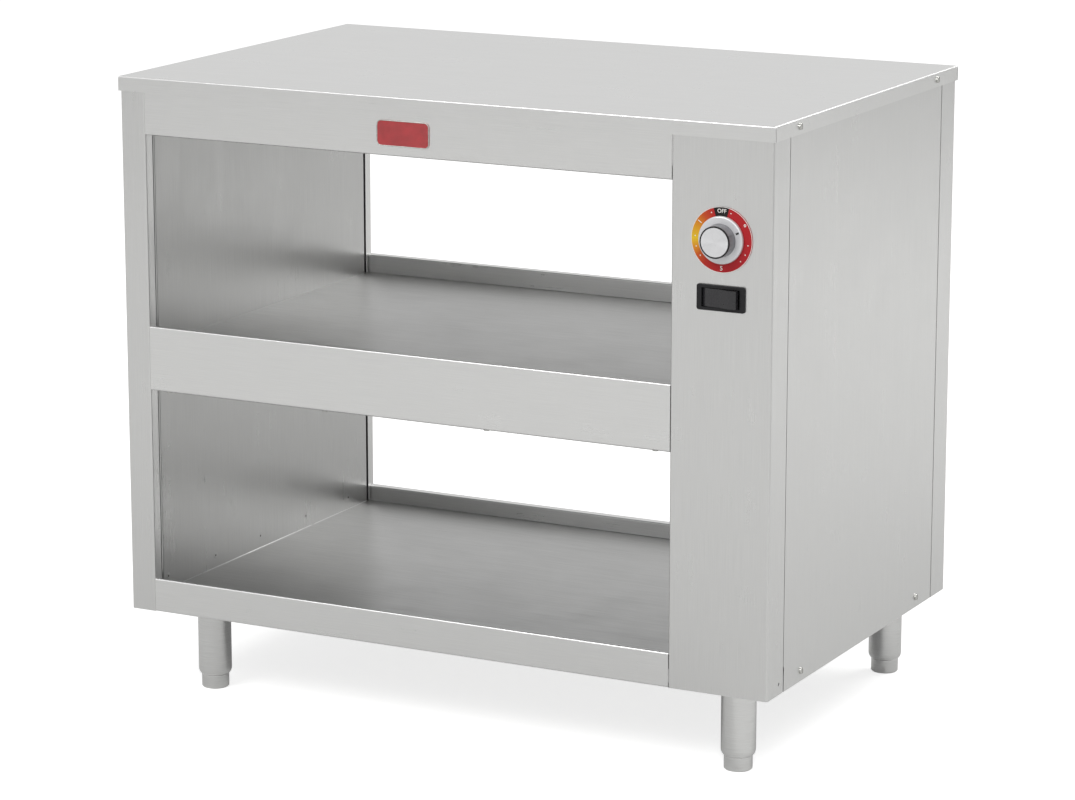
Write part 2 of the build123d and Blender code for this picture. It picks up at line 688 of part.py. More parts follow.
def make_dial_plate():
    """The printed disc round the knob, seated on the control panel."""
    disc = rod((CONTROL_X, DIAL_Z), DIAL_DIAMETER / 2, FRONT - DIAL_THICKNESS, FRONT, "y")
    disc -= rod((CONTROL_X, DIAL_Z), SHAFT_HOLE / 2, FRONT - 2 * DIAL_THICKNESS, FRONT + CUT, "y")
    for x in dial_screw_places():
        disc -= rod((x, DIAL_Z), SCREW_HOLE / 2, FRONT - 2 * DIAL_THICKNESS, FRONT + CUT, "y")
    return disc


def make_infinite_switch():
    """The heat control behind the panel, bored for its shaft, with spade tabs at the back."""
    half = SWITCH_BODY / 2
    face = FRONT + SHEET
    back = face + SWITCH_BODY_DEPTH
    body = block(CONTROL_X - half, CONTROL_X + half, face, back, DIAL_Z - half, DIAL_Z + half)
    body = fillet(body.edges().filter_by(Axis.Y), SWITCH_BODY_CORNER)
    body -= rod((CONTROL_X, DIAL_Z), SHAFT_DIAMETER / 2 + SHAFT_FIT, face - CUT,
                face + SWITCH_SHAFT_REACH + SEAT_GAP, "y")
    for x in dial_screw_places():
        body -= rod((x, DIAL_Z), SCREW_SHANK / 2, face - CUT, face + SCREW_LENGTH, "y")
    for column in (-1, 1):
        for row in (-1, 0, 1):
            x = CONTROL_X + column * half / 2
            z = DIAL_Z + row * half / 2
            body += block(x - TAB_WIDTH / 2, x + TAB_WIDTH / 2, back, back + TAB_LENGTH,
                          z - TAB_THICKNESS / 2, z + TAB_THICKNESS / 2)
    return body


def make_switch_shaft():
    """The control's shaft, which turns in the switch and carries the knob."""
    inside = FRONT + SHEET + SWITCH_SHAFT_REACH
    outside = KNOB_BACK - KNOB_SOCKET_DEPTH
    return rod((CONTROL_X, DIAL_Z), SHAFT_DIAMETER / 2, outside, inside, "y")


def knob_face():
    """The plane of the knob's back, facing out of the cabinet."""
    return Plane(origin=(CONTROL_X, KNOB_BACK, DIAL_Z), x_dir=(1, 0, 0), z_dir=(0, -1, 0))


def make_knob():
    """The knob: a broad skirt with a sunk pointer and a slightly tapered grip, hollow behind."""
    skirt = Pos(0, 0, SKIRT_THICKNESS / 2) * Cylinder(SKIRT_DIAMETER / 2, SKIRT_THICKNESS)
    skirt = fillet(skirt.edges().group_by(Axis.Z)[-1], SKIRT_ROUND)
    root = KNOB_DIAMETER / 2
    grip_bottom = SKIRT_THICKNESS / 2
    grip_top = KNOB_LENGTH - RING_THICKNESS
    grip = Cone(root, root - KNOB_TAPER, grip_top - grip_bottom)
    knob = skirt + Pos(0, 0, (grip_bottom + grip_top) / 2) * grip
    socket = Cylinder(SHAFT_DIAMETER / 2, 2 * KNOB_SOCKET_DEPTH)
    screw_reach = (SWITCH_SCREW_SPACING + SCREW_HEAD) / 2 + KNOB_RUN_GAP
    recess = Cylinder(screw_reach, 2 * (SCREW_HEAD_HEIGHT + KNOB_RUN_GAP))
    knob = knob - socket - recess
    groove = Box(POINTER_LENGTH, POINTER_WIDTH, 2 * POINTER_DEPTH)
    knob -= Rot(0, 0, POINTER_TURN) * Pos(POINTER_RADIUS, 0, SKIRT_THICKNESS) * groove
    return knob_face() * knob


def make_knob_pointer():
    """The dark filled mark in the knob's skirt."""
    mark = Box(POINTER_LENGTH, POINTER_WIDTH, POINTER_DEPTH)
    mark = Pos(POINTER_RADIUS, 0, SKIRT_THICKNESS - POINTER_DEPTH / 2) * mark
    return knob_face() * (Rot(0, 0, POINTER_TURN) * mark)


def make_knob_ring():
    """The black ring that edges the knob's face and holds the aluminium disc."""
    radius = KNOB_DIAMETER / 2 - KNOB_TAPER
    ring = Cylinder(radius, RING_THICKNESS)
    ring = fillet(ring.edges().group_by(Axis.Z)[-1], RING_ROUND)
    ring -= Cylinder(CAP_DIAMETER / 2, RING_THICKNESS + CUT)
    return knob_face() * (Pos(0, 0, KNOB_LENGTH - RING_THICKNESS / 2) * ring)


def make_knob_cap():
    """The spun aluminium disc inside the ring, a little below the ring's face."""
    seat = KNOB_FRONT + RING_THICKNESS
    return rod((CONTROL_X, DIAL_Z), CAP_DIAMETER / 2 - CAP_FIT, seat - CAP_THICKNESS, seat, "y")


def make_dial_screws():
    facing = (0, -1, 0)
    return [screw((x, FRONT - DIAL_THICKNESS, DIAL_Z), facing) for x in dial_screw_places()]


def make_rocker_housing():
    """The rocker switch's snap-in case with its bezel on the panel, open at the front."""
    x, z = CONTROL_X, SWITCH_Z
    bezel = block(x - BEZEL_WIDTH / 2, x + BEZEL_WIDTH / 2, FRONT - BEZEL_THICKNESS, FRONT,
                  z - BEZEL_HEIGHT / 2, z + BEZEL_HEIGHT / 2)
    bezel = fillet(bezel.edges().filter_by(Axis.Y), BEZEL_CORNER)
    bezel = fillet(bezel.edges().group_by(Axis.Y)[0], BEZEL_ROUND)
    back = FRONT + HOUSING_DEPTH
    case = block(x - HOUSING_WIDTH / 2, x + HOUSING_WIDTH / 2, FRONT - BEZEL_THICKNESS / 2, back,
                 z - HOUSING_HEIGHT / 2, z + HOUSING_HEIGHT / 2)
    well_x = ROCKER_WIDTH / 2 + ROCKER_CLEARANCE
    well_z = ROCKER_HEIGHT / 2 + ROCKER_CLEARANCE / 2
    well = block(x - well_x, x + well_x, FRONT - BEZEL_THICKNESS - CUT, back - HOUSING_WALL,
                 z - well_z, z + well_z)
    housing = bezel + case - well
    pin_reach = well_z + HOUSING_WALL / 2
    housing += rod((x, ROCKER_PIVOT_Y), ROCKER_PIN_DIAMETER / 2, z - pin_reach, z + pin_reach, "z")
    for i in (-1, 1):
        tab_x = x + i * HOUSING_WIDTH / 4
        housing += block(tab_x - TAB_THICKNESS / 2, tab_x + TAB_THICKNESS / 2, back,
                         back + TAB_LENGTH, z - TAB_WIDTH / 2, z + TAB_WIDTH / 2)
    return housing


def make_rocker():
    """The see-saw key: a shallow valley between two ridges, tilted with its left half in."""
    half = ROCKER_WIDTH / 2
    ridge_x = half - ROCKER_FACET
    valley_y = -ROCKER_PIVOT_DEPTH - ROCKER_PROUD
    ridge_y = valley_y - ridge_x * math.tan(math.radians(ROCKER_VALLEY))
    facet_y = ridge_y + ROCKER_FACET_DROP
    end_y = valley_y + ROCKER_END_DEPTH
    heel_y = valley_y + ROCKER_DEPTH
    heel_x = ROCKER_HEEL / 2
    outline = Polyline((0, valley_y), (ridge_x, ridge_y), (half, facet_y), (half, end_y),
                       (heel_x, heel_y), (-heel_x, heel_y), (-half, end_y), (-half, facet_y),
                       (-ridge_x, ridge_y), close=True)
    key = extrude(make_face(outline), amount=ROCKER_HEIGHT / 2, both=True)
    key -= Cylinder(ROCKER_PIN_DIAMETER / 2 + SHAFT_FIT, ROCKER_HEIGHT * 2)
    return Pos(CONTROL_X, ROCKER_PIVOT_Y, SWITCH_Z) * Rot(0, 0, -ROCKER_TILT) * key


def make_nameplate():
    """A blank plate with rounded corners on the header's face."""
    plate = block(PLATE_CENTRE_X - PLATE_WIDTH / 2, PLATE_CENTRE_X + PLATE_WIDTH / 2,
                  FRONT - PLATE_THICKNESS, FRONT,
                  PLATE_Z - PLATE_HEIGHT / 2, PLATE_Z + PLATE_HEIGHT / 2)
    return fillet(plate.edges().filter_by(Axis.Y), PLATE_CORNER)


def make_terminal_block():
    """A ceramic strip on the partition, with a screw well for each pole."""
    x0 = BAY_RIGHT + SHEET
    x1 = x0 + TERMINAL_HEIGHT
    z = UNDERSIDE + TERMINAL_CENTRE_HEIGHT
    half = TERMINAL_LENGTH / 2
    strip = block(x0, x1, -half, half, z - TERMINAL_WIDTH / 2, z + TERMINAL_WIDTH / 2)
    for y in terminal_poles():
        strip -= rod((y, z), TERMINAL_WELL_DIAMETER / 2, x1 - TERMINAL_WELL_DEPTH, x1 + CUT, "x")
    return strip


def terminal_poles():
    pitch = TERMINAL_LENGTH / TERMINAL_POLES
    first = -(TERMINAL_POLES - 1) * pitch / 2
    return [first + pitch * i for i in range(TERMINAL_POLES)]


def wire(*points):
    """One insulated lead, as straight runs joined by round bends."""
    path = FilletPolyline(*points, radius=WIRE_BEND)
    start = Plane(origin=points[0], z_dir=Vector(points[1]) - Vector(points[0]))
    return sweep(start * Circle(WIRE_DIAMETER / 2), path=path)


def make_wiring():
    """Leads from the heaters and the two switches down to the terminal block."""
    poles = terminal_poles()
    strip_top = UNDERSIDE + TERMINAL_CENTRE_HEIGHT + TERMINAL_WIDTH / 2 + SEAT_GAP
    pole_x = BAY_RIGHT + SHEET + TERMINAL_HEIGHT / 2
    control_back = FRONT + SHEET + SWITCH_BODY_DEPTH + TAB_LENGTH + SEAT_GAP
    rocker_back = FRONT + HOUSING_DEPTH + TAB_LENGTH + SEAT_GAP
    mid_x = CONTROL_X + 3 * WIRE_BEND
    wires = []
    half_tab = HOUSING_WIDTH / 4
    wires.append(wire((CONTROL_X - half_tab, rocker_back, SWITCH_Z),
                      (CONTROL_X - half_tab, poles[0], SWITCH_Z),
                      (CONTROL_X - half_tab, poles[0], strip_top + 3 * WIRE_BEND),
                      (pole_x, poles[0], strip_top + 3 * WIRE_BEND),
                      (pole_x, poles[0], strip_top)))
    half_body = SWITCH_BODY / 4
    wires.append(wire((CONTROL_X + half_body, control_back, DIAL_Z + half_body),
                      (CONTROL_X + half_body, poles[1], DIAL_Z + half_body),
                      (mid_x - WIRE_BEND, poles[1], DIAL_Z - 3 * WIRE_BEND),
                      (mid_x - WIRE_BEND, poles[1], strip_top + 5 * WIRE_BEND),
                      (pole_x, poles[1], strip_top + 5 * WIRE_BEND),
                      (pole_x, poles[1], strip_top)))
    tail = BAY_RIGHT + HEATER_TAIL + SEAT_GAP
    runs = heater_run_places()
    for run, pole in ((runs[1], poles[2]), (runs[2], poles[3])):
        wires.append(wire((tail, run, HEATER_Z), (tail + 2 * WIRE_BEND, run, HEATER_Z),
                          (tail + 2 * WIRE_BEND, pole, HEATER_Z - 3 * WIRE_BEND),
                          (tail + 2 * WIRE_BEND, pole, strip_top + 3 * WIRE_BEND),
                          (pole_x, pole, strip_top + 3 * WIRE_BEND),
                          (pole_x, pole, strip_top)))
    return wires


def make_cord_gland():
    """The power entry: a hexagon and domed mouth outside, a threaded body through the cover."""
    x, z = CONTROL_X, GLAND_Z
    outward = Plane(origin=(x, BACK, z), x_dir=(1, 0, 0), z_dir=(0, 1, 0))
    flats = extrude(RegularPolygon(GLAND_HEX / 2, 6, major_radius=False), amount=GLAND_HEX_THICKNESS)
    dome = Pos(0, 0, GLAND_HEX_THICKNESS) * extrude(Circle(GLAND_THREAD / 2), amount=GLAND_DOME)
    dome = fillet(dome.edges().group_by(Axis.Z)[-1], GLAND_ROUND)
    thread = extrude(Circle(GLAND_THREAD / 2), amount=-GLAND_THREAD_LENGTH)
    reach = GLAND_HEX_THICKNESS + GLAND_DOME + GLAND_THREAD_LENGTH + CUT
    bore = Cylinder(GLAND_BORE / 2, 2 * reach)
    return outward * (flats + dome + thread - bore)


def make_gland_nut():
    inward = Plane(origin=(CONTROL_X, BACK - SHEET, GLAND_Z), x_dir=(1, 0, 0), z_dir=(0, -1, 0))
    nut = extrude(RegularPolygon(GLAND_HEX / 2, 6, major_radius=False), amount=GLAND_NUT_THICKNESS)
    nut -= extrude(Circle(GLAND_THREAD / 2), amount=3 * GLAND_NUT_THICKNESS, both=True)
    return inward * nut


def all_nodes():
    """Every piece of the cabinet, by name."""
    nodes = {
        "top_panel": make_top_panel(),
        "top_stiffener": make_top_stiffener(),
        "front_header": make_header(),
        "rear_header": mirrored_front_to_back(make_header()),
        "left_side_panel": make_left_side_panel(),
        "left_liner": make_left_liner(),
        "control_partition": make_control_partition(),
        "control_panel": make_control_panel(),
        "rear_control_cover": make_rear_control_cover(),
        "right_side_panel": make_right_side_panel(),
        "heated_shelf": make_heated_shelf(),
        "heater_cover": make_heater_cover(),
        "shelf_insulation": make_insulation(),
        "heater_clamps": make_heater_clamps(),
        "high_limit_thermostat": make_high_limit(),
        "base_shelf": make_base_shelf(),
        "left_wall_closure": make_wall_closure(),
        "compartment_floor": make_compartment_floor(),
        "dial_plate": make_dial_plate(),
        "infinite_switch": make_infinite_switch(),
        "switch_shaft": make_switch_shaft(),
        "knob": make_knob(),
        "knob_pointer": make_knob_pointer(),
        "knob_ring": make_knob_ring(),
        "knob_cap": make_knob_cap(),
        "rocker_housing": make_rocker_housing(),
        "rocker": make_rocker(),
        "terminal_block": make_terminal_block(),
        "internal_wiring": make_wiring(),
        "cord_gland": make_cord_gland(),
        "gland_nut": make_gland_nut(),
        "nameplate": make_nameplate(),
        "top_screws": make_top_screws(),
        "side_panel_screws": make_side_panel_screws(),
        "heater_cover_screws": make_cover_screws(),
        "dial_screws": make_dial_screws(),
        "leg_plate_screws": make_leg_screws(),
    }
    runs = heater_run_places()
    nodes["front_heater"] = make_heater(runs[0], runs[1])
    nodes["rear_heater"] = make_heater(runs[2], runs[3])
    for side, leg_x in zip(SIDE_NAMES, LEG_X):
        nodes[f"base_rail_{side}"] = make_base_rail(leg_x)
        for end, leg_y in zip(END_NAMES, LEG_Y):
            corner = f"{end}_{side}"
            nodes[f"leg_plate_{corner}"] = make_leg_plate(leg_x, leg_y)
            nodes[f"leg_tube_{corner}"] = make_leg_tube(leg_x, leg_y)
            nodes[f"foot_{corner}"] = make_foot(leg_x, leg_y)
    return nodes


os.makedirs("parts", exist_ok=True)
for name, shape in all_nodes().items():
    if isinstance(shape, list):
        shape = Compound(children=[solid for item in shape for solid in item.solids()])
    export_step(shape, f"parts/{name}.step")
print("Leg centres", LEG_X, LEG_Y)
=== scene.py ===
import json
import math

import bmesh
import bpy
from mathutils import Matrix, Vector


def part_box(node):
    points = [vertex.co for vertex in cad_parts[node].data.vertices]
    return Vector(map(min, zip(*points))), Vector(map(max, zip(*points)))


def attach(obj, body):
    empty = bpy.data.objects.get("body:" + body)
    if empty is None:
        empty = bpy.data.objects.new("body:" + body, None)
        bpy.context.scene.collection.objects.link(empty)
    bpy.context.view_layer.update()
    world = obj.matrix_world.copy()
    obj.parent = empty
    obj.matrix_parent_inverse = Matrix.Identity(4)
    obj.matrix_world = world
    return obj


# Heated holding shelf: an open cabinet of satin stainless sheet on four adjustable legs.
# Metres, in the frame of the model: +X right seen from the front, -Y front, +Z up.

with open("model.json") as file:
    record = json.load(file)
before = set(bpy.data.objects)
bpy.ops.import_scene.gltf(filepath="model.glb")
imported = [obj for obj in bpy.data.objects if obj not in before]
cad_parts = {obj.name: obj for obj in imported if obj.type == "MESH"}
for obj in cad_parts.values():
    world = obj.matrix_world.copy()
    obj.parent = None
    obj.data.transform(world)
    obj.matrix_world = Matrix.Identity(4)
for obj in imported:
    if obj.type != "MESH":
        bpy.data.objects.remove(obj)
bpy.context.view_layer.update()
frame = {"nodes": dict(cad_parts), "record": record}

MM = 0.001

# Camera, fitted to the corners of the cabinet in the photograph
PHOTO_WIDTH_PX = 1075
CAMERA_PLACE = (2.182, -4.221, 1.442)
CAMERA_TURN = math.radians(27.40)
CAMERA_TILT = math.radians(12.86)
CAMERA_FOCAL_PX = 3925
SENSOR_WIDTH_MM = 36.0
CAMERA_REACH = 200.0

# Studio
FLOOR_RADIUS = 40.0
FLOOR_SIDES = 96
FLOOR_COLOUR = "#D4D4D3"
FLOOR_WHITE_SEEN = 0.72
FLOOR_WHITE_MIRRORED = 0.12
ROOM_LIGHT = 0.62

# Each soft lamp: its name, its place, the point that it faces, its width, height and watts
LAMPS = (("key_lamp", (-1.3, -4.2, 4.4), (-1.0, -2.8, 0), 3.0, 2.4, 135),
         ("side_lamp", (2.0, 3.1, 3.2), (1.3, 2.1, 0), 2.4, 2.4, 90),
         ("strip_lamp", (2.0, -3.6, 3.0), (0.37, -0.27, 0.6), 0.25, 1.6, 34))

# Printed dial, angles clockwise from the top. Each word has its angle and its height in mm
DIAL_CENTRE = (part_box("dial_plate")[0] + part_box("dial_plate")[1]) / 2
DIAL_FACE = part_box("dial_plate")[0].y
DIAL_RADIUS = (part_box("dial_plate")[1].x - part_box("dial_plate")[0].x) / 2
PRINT_THICKNESS = 0.05 * MM
GRIP_RADIUS = 19.1 * MM
OFF_SECTOR_MIDDLE = -1.0
OFF_SECTOR_HALF = 15.0
MARK_RADIUS = 32.8 * MM
DOT_ANGLES = (-23, 20, 97, 117, 134, 233, 253, 274)
DIAL_WORDS = (("OFF", 0, 6.4), ("9", 57, 7.4), ("5", 180, 7.4), ("1", 305, 7.4))
LETTER_THICKENING = 0.08 * MM
DOT_RADIUS = 0.75 * MM
DOT_FACE_RADIUS = 0.6 * MM
DOT_SIDES = 20
OUTLINE_INNER_INSET = 0.75 * MM
OUTLINE_OUTER_INSET = 0.05 * MM
OUTLINE_SIDES = 128

# Rows of spot welds just above the bottom deck, measured from the cabinet's front face
WELD_PLACES = (30 * MM, 141 * MM, 250 * MM, 365 * MM, 476 * MM)
WELD_HEIGHT = 16 * MM
WELD_RADIUS = 4.5 * MM

# A weld's dimple and the scorch at its middle, as (radius, height) pairs from the wall
DIMPLE_PROFILE = ((WELD_RADIUS, 0), (WELD_RADIUS * 0.8, 0.12 * MM),
                  (WELD_RADIUS * 0.55, 0.3 * MM), (WELD_RADIUS * 0.35, 0.2 * MM),
                  (0, 0.12 * MM))
DIMPLE_SIDES = 28
SCORCH_PROFILE = ((1.4 * MM, 0.1 * MM), (1.2 * MM, 0.26 * MM), (0, 0.3 * MM))
SCORCH_SIDES = 16

# Weld bead beside the bottom deck. Its ends are rounded off through one point, given as
# shares of its radius
SEAM_BEAD_RADIUS = 0.8 * MM
BEAD_END_WIDTH = 0.7
BEAD_END_REACH = 0.3
BEAD_SIDES = 16

# Border of the nameplate, as (inset, height) pairs from the plate's edge and face
RIM_CORNER = 6 * MM
RIM_WIDTH = 1.1 * MM
RIM_PROFILE = ((0, 0), (0, 0.25 * MM), (RIM_WIDTH / 2, 0.4 * MM), (RIM_WIDTH, 0.25 * MM),
               (RIM_WIDTH, 0))
RIM_STEPS_PER_CORNER = 10


def linear(hex_colour):
    """The linear value of an sRGB hex colour."""
    channels = [int(hex_colour[i:i + 2], 16) / 255 for i in (1, 3, 5)]
    values = [c / 12.92 if c <= 0.04045 else ((c + 0.055) / 1.055) ** 2.4 for c in channels]
    return (*values, 1.0)


def add(tree, kind, sockets=None, **settings):
    """Adds a node, sets it up, and fills its sockets with values or with links."""
    node = tree.nodes.new(kind)
    for name, value in settings.items():
        setattr(node, name, value)
    for key, value in (sockets or {}).items():
        socket = node.inputs[key]
        if isinstance(value, bpy.types.NodeSocket):
            tree.links.new(value, socket)
        else:
            socket.default_value = value
    return node


def surface(name, hex_colour, metallic, roughness, **shader_sockets):
    """A new material with its shader, and the place on the piece in metres."""
    material = bpy.data.materials.new(name)
    material.use_nodes = True
    tree = material.node_tree
    tree.nodes.clear()
    sockets = {"Base Color": linear(hex_colour), "Metallic": metallic, "Roughness": roughness}
    for key, value in shader_sockets.items():
        sockets[key.replace("_", " ")] = value
    shader = add(tree, "ShaderNodeBsdfPrincipled", sockets)
    add(tree, "ShaderNodeOutputMaterial", {"Surface": shader.outputs["BSDF"]})
    place = add(tree, "ShaderNodeTexCoord").outputs["Object"]
    return material, tree, shader, place


def grain(tree, place, spacing, detail=3.0, roughness=0.6):
    """Noise whose features are spacing (x, y, z) metres apart."""
    scale = tuple(1 / s for s in spacing)
    stretched = add(tree, "ShaderNodeMapping", {"Vector": place, "Scale": scale})
    noise = add(tree, "ShaderNodeTexNoise", {"Vector": stretched.outputs["Vector"],
                                              "Scale": 1.0, "Detail": detail,
                                              "Roughness": roughness})
    return noise.outputs["Fac"]


def between(tree, value, low, high, start=0.3, end=0.7):
    """The value from start to end spread over low to high."""
    node = add(tree, "ShaderNodeMapRange", {"Value": value, "From Min": start, "From Max": end,
                                            "To Min": low, "To Max": high})
    return node.outputs["Result"]


def tinted(tree, factor, dark, light):
    """A colour between two hex colours."""
    mix = add(tree, "ShaderNodeMix", {0: factor, 6: linear(dark), 7: linear(light)},
              data_type="RGBA")
    return mix.outputs[2]


def raised(tree, shader, height, depth, strength=1.0, under=None):
    """Bump of depth metres under the shader, over another bump where one is given."""
    sockets = {"Height": height, "Distance": depth, "Strength": strength}
    if under is not None:
        sockets["Normal"] = under
    bump = add(tree, "ShaderNodeBump", sockets).outputs["Normal"]
    tree.links.new(bump, shader.inputs["Normal"])
    return bump


# Grit lines of the satin finish are about 0.1 mm wide. They are drawn 0.5 mm wide so that
# they show from where the photograph was taken.
GRIT_WIDTH = 0.5 * MM
GRIT_LENGTH = 60 * MM
SCOUR_WIDTH = 1.2 * MM
SCOUR_LENGTH = 50 * MM
SCOUR_ROUGHNESS = 0.06
BAND_WIDTH = 9 * MM
BAND_LENGTH = 600 * MM
WAVE_SIZE = 240 * MM
SMUDGE_SIZE = 70 * MM
GRAIN_AXES = {"x": (1, 0, 0), "y": (0, 1, 0), "z": (0, 0, 1)}

# The scour-marked deck with its painted shade fades in between two distances behind a tray's
# front, and out before its back
DECK_FADE_IN = (6 * MM, 7 * MM)
DECK_FADE_OUT = (15 * MM, 14 * MM)


def satin_stainless_sheet(name, along, dark="#D8D8D7", light="#E0E0DF"):
    """304 stainless sheet, belt-brushed: long fine grit lines one way, and a soft sheen
    that spreads across them. The sheet is not quite flat, so broad reflections wander."""
    material, tree, shader, place = surface(name, light, 1.0, 0.30)
    axis = GRAIN_AXES[along]
    grit = grain(tree, place, [GRIT_LENGTH if a else GRIT_WIDTH for a in axis], 4.0)
    band = grain(tree, place, [BAND_LENGTH if a else BAND_WIDTH for a in axis], 2.0)
    smudge = grain(tree, place, (SMUDGE_SIZE,) * 3, 3.0)
    wave = grain(tree, place, (WAVE_SIZE,) * 3, 0.0)
    lines = add(tree, "ShaderNodeMath", {0: grit, 1: band}, operation="MULTIPLY").outputs[0]
    tree.links.new(tinted(tree, between(tree, grit, 0, 1), dark, light),
                   shader.inputs["Base Color"])
    worn = add(tree, "ShaderNodeMath", {0: between(tree, lines, 0.28, 0.33, 0.15, 0.4),
                                        1: between(tree, smudge, -0.02, 0.03)},
               operation="ADD").outputs[0]
    tree.links.new(worn, shader.inputs["Roughness"])
    flatness = raised(tree, shader, wave, 1.0 * MM)
    raised(tree, shader, grit, 0.002 * MM, under=flatness)
    return material


def scoured_tray_sheet_with_painted_shade():
    """The same sheet as trays. The aprons keep their satin, and the decks, which get a scour every
    day, carry fine scratches and blur what they mirror; their darker colour is painted shade."""
    material = satin_stainless_sheet("satin_stainless_tray", "x")
    tree = material.node_tree
    shader = next(node for node in tree.nodes if node.type == "BSDF_PRINCIPLED")
    place = add(tree, "ShaderNodeTexCoord").outputs["Object"]
    depth = add(tree, "ShaderNodeSeparateXYZ", {"Vector": place}).outputs["Y"]
    front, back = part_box("base_shelf")[0].y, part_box("base_shelf")[1].y
    behind = between(tree, depth, 0, 1, front + DECK_FADE_IN[0], front + DECK_FADE_IN[1])
    before = between(tree, depth, 1, 0, back - DECK_FADE_OUT[0], back - DECK_FADE_OUT[1])
    deck = add(tree, "ShaderNodeMath", {0: behind, 1: before}, operation="MULTIPLY").outputs[0]
    scratches = grain(tree, place, (SCOUR_LENGTH, SCOUR_WIDTH, SCOUR_WIDTH), 4.0)
    # The deck's scratch tones are darker than the satin: painted shade over real scour marks
    scour_marks_and_painted_shade = tinted(tree, between(tree, scratches, 0, 1), "#AFAFAE", "#BEBEBD")
    satin = shader.inputs["Base Color"].links[0].from_socket
    mix = add(tree, "ShaderNodeMix", {0: deck, 6: satin, 7: scour_marks_and_painted_shade}, data_type="RGBA")
    tree.links.new(mix.outputs[2], shader.inputs["Base Color"])
    polish = shader.inputs["Roughness"].links[0].from_socket
    worn = add(tree, "ShaderNodeMath", {0: deck, 1: SCOUR_ROUGHNESS, 2: polish},
               operation="MULTIPLY_ADD")
    tree.links.new(worn.outputs[0], shader.inputs["Roughness"])
    return material


def turned_stainless():
    """Stainless tube and bar linished on a lathe: fine rings round each leg and foot draw
    every bright thing near them out into an upright streak."""
    material, tree, shader, place = surface("turned_stainless", "#D8D8D7", 1.0, 0.2,
                                            Anisotropic=0.6)
    tangent = add(tree, "ShaderNodeTangent", direction_type="RADIAL", axis="Z")
    tree.links.new(tangent.outputs["Tangent"], shader.inputs["Tangent"])
    rings = grain(tree, place, (30 * MM, 30 * MM, 0.7 * MM), 3.0)
    scuff = grain(tree, place, (9 * MM, 9 * MM, 9 * MM), 4.0)
    tree.links.new(between(tree, scuff, 0.16, 0.24), shader.inputs["Roughness"])
    tree.links.new(tinted(tree, between(tree, rings, 0, 1), "#D0D0CF", "#DEDEDD"),
                   shader.inputs["Base Color"])
    raised(tree, shader, rings, 0.004 * MM)
    return material


def galvanised_steel():
    """Hot-dip zinc on rolled steel: dull grey crystals a few millimetres wide."""
    material, tree, shader, place = surface("galvanised_steel", "#A6A8AA", 1.0, 0.45)
    spangle = add(tree, "ShaderNodeTexVoronoi", {"Vector": place, "Scale": 1 / (7 * MM)})
    tone = add(tree, "ShaderNodeSeparateColor", {"Color": spangle.outputs["Color"]}).outputs[0]
    tree.links.new(tinted(tree, tone, "#989A9C", "#B4B6B8"), shader.inputs["Base Color"])
    tree.links.new(between(tree, tone, 0.36, 0.52, 0, 1), shader.inputs["Roughness"])
    raised(tree, shader, grain(tree, place, (1.5 * MM,) * 3), 0.03 * MM)
    return material


def zinc_plated_steel():
    """Bright zinc plate on cold-headed screws: silvery, with a faint mottle from the bath."""
    material, tree, shader, place = surface("zinc_plated_steel", "#C6C6C2", 1.0, 0.24)
    mottle = grain(tree, place, (1.2 * MM,) * 3, 4.0)
    tree.links.new(between(tree, mottle, 0.18, 0.36), shader.inputs["Roughness"])
    tree.links.new(tinted(tree, between(tree, mottle, 0, 1), "#B9B9B4", "#D2D2CF"),
                   shader.inputs["Base Color"])
    raised(tree, shader, mottle, 0.02 * MM)
    return material


def heater_sheath_alloy():
    """Nickel alloy tube that has been red hot: brown-grey, blotched with oxide."""
    material, tree, shader, place = surface("heater_sheath_alloy", "#5F5650", 1.0, 0.5)
    oxide = grain(tree, place, (14 * MM,) * 3, 4.0)
    tree.links.new(tinted(tree, between(tree, oxide, 0, 1), "#4A4440", "#7D6A58"),
                   shader.inputs["Base Color"])
    raised(tree, shader, grain(tree, place, (0.8 * MM,) * 3), 0.02 * MM)
    return material


def mineral_wool():
    """Spun rock fibre pressed into a batt: matted threads and a crumbly yellow-grey face."""
    material, tree, shader, place = surface("mineral_wool", "#BDB07C", 0.0, 0.95)
    thread = grain(tree, place, (9 * MM, 1.2 * MM, 1.2 * MM), 5.0)
    clump = grain(tree, place, (18 * MM,) * 3, 3.0)
    tree.links.new(tinted(tree, between(tree, clump, 0, 1), "#A2965F", "#D2C694"),
                   shader.inputs["Base Color"])
    raised(tree, shader, thread, 0.8 * MM)
    return material


def phenolic_moulding():
    """Compression-moulded phenolic: brown-black, slightly glossy, speckled with filler."""
    material, tree, shader, place = surface("phenolic_moulding", "#2B2522", 0.0, 0.42, IOR=1.6)
    filler = grain(tree, place, (0.7 * MM,) * 3, 2.0)
    tree.links.new(tinted(tree, between(tree, filler, 0, 1, 0.45, 0.8), "#272120", "#453A33"),
                   shader.inputs["Base Color"])
    raised(tree, shader, filler, 0.02 * MM)
    return material


def black_nylon(name, hex_colour, roughness, shine, grain_size, grain_depth):
    """Injection-moulded nylon with a spark-eroded grain: black, soft sheen, fine pebbles."""
    material, tree, shader, place = surface(name, hex_colour, 0.0, roughness, IOR=1.53,
                                            Specular_IOR_Level=shine)
    pebble = grain(tree, place, (grain_size,) * 3, 2.0)
    rub = grain(tree, place, (11 * MM,) * 3, 3.0)
    tree.links.new(between(tree, rub, roughness - 0.06, roughness + 0.06),
                   shader.inputs["Roughness"])
    raised(tree, shader, pebble, grain_depth)
    return material


